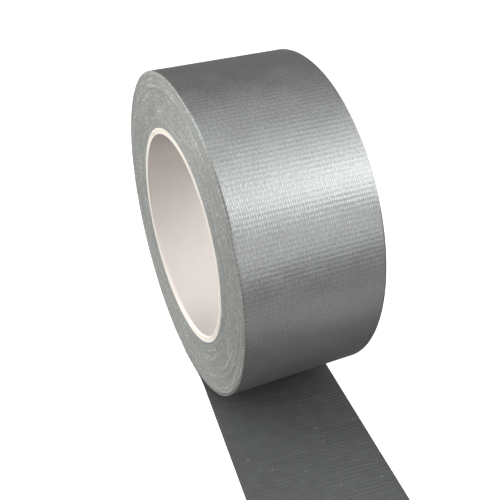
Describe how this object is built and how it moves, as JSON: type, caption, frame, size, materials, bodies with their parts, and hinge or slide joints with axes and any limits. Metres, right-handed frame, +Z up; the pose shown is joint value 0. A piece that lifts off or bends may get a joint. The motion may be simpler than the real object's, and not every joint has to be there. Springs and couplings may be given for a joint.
{
  "type": "duct tape roll",
  "caption": "Roll of silver-grey cloth-backed repair tape wound on a paper core, standing on its rim with a short tail drawn off, which peels round the roll and curls up.",
  "frame": {"origin": "middle of the core's bore, halfway across the tape's width", "axes": "+Y along the bore, +Z up, +X the way the tail runs along the surface the roll stands on"},
  "size_m": [0.1781, 0.0633, 0.1204],
  "materials": {
    "backing_film": "silver-grey polyethylene backing, satin, ribbed by the cloth under it",
    "scrim": "pale cotton and polyester yarns, matt",
    "adhesive": "grey natural-rubber adhesive, tacky, low gloss",
    "wound_edge": "slit edges of the wound turns, matt, with cut yarn ends",
    "core_liner": "smooth white paper liner, matt",
    "core_board": "cream paperboard ply, matt, fibrous at the cut end"
  },
  "bodies": {
    "roll": {"core_inner_liner": "core_liner", "core_board_ply_1": "core_board", "core_board_ply_2": "core_board", "core_board_ply_3": "core_board", "core_outer_liner": "core_liner", "wound_turns": "wound_edge", "outer_turn_adhesive": "adhesive", "outer_turn_scrim": "scrim", "outer_turn_film": "backing_film"},
    "tail_lead": {"tail_lead_film": "backing_film", "tail_lead_weft": "scrim", "tail_lead_warp": "scrim", "tail_lead_adhesive": "adhesive"},
    "tail_1": {"tail_1_film": "backing_film", "tail_1_weft": "scrim", "tail_1_warp": "scrim", "tail_1_adhesive": "adhesive"},
    "tail_2": {"tail_2_film": "backing_film", "tail_2_weft": "scrim", "tail_2_warp": "scrim", "tail_2_adhesive": "adhesive"},
    "tail_3": {"tail_3_film": "backing_film", "tail_3_weft": "scrim", "tail_3_warp": "scrim", "tail_3_adhesive": "adhesive"},
    "tail_4": {"tail_4_film": "backing_film", "tail_4_weft": "scrim", "tail_4_warp": "scrim", "tail_4_adhesive": "adhesive"},
    "tail_5": {"tail_5_film": "backing_film", "tail_5_weft": "scrim", "tail_5_warp": "scrim", "tail_5_adhesive": "adhesive"}
  },
  "joints": [
    {"name": "tail_round_roll", "type": "hinge", "parent": "roll", "child": "tail_lead", "pos_m": [0, 0, 0], "axis": [0, -1, 0], "continuous": true},
    {"name": "tail_curl_1", "type": "hinge", "parent": "tail_lead", "child": "tail_1", "pos_m": [0.01, 0, -0.06015], "axis": [0, -1, 0], "range_deg": [0, 18.88]},
    {"name": "tail_curl_2", "type": "hinge", "parent": "tail_1", "child": "tail_2", "pos_m": [0.03, 0, -0.06015], "axis": [0, -1, 0], "range_deg": [0, 18.88]},
    {"name": "tail_curl_3", "type": "hinge", "parent": "tail_2", "child": "tail_3", "pos_m": [0.05, 0, -0.06015], "axis": [0, -1, 0], "range_deg": [0, 18.88]},
    {"name": "tail_curl_4", "type": "hinge", "parent": "tail_3", "child": "tail_4", "pos_m": [0.07, 0, -0.06015], "axis": [0, -1, 0], "range_deg": [0, 18.88]},
    {"name": "tail_curl_5", "type": "hinge", "parent": "tail_4", "child": "tail_5", "pos_m": [0.09, 0, -0.06015], "axis": [0, -1, 0], "range_deg": [0, 18.88]}
  ],
  "couplings": [
    {"joint": "tail_curl_2", "follows": "tail_curl_1", "ratio": 1},
    {"joint": "tail_curl_3", "follows": "tail_curl_1", "ratio": 1},
    {"joint": "tail_curl_4", "follows": "tail_curl_1", "ratio": 1},
    {"joint": "tail_curl_5", "follows": "tail_curl_1", "ratio": 1}
  ]
}
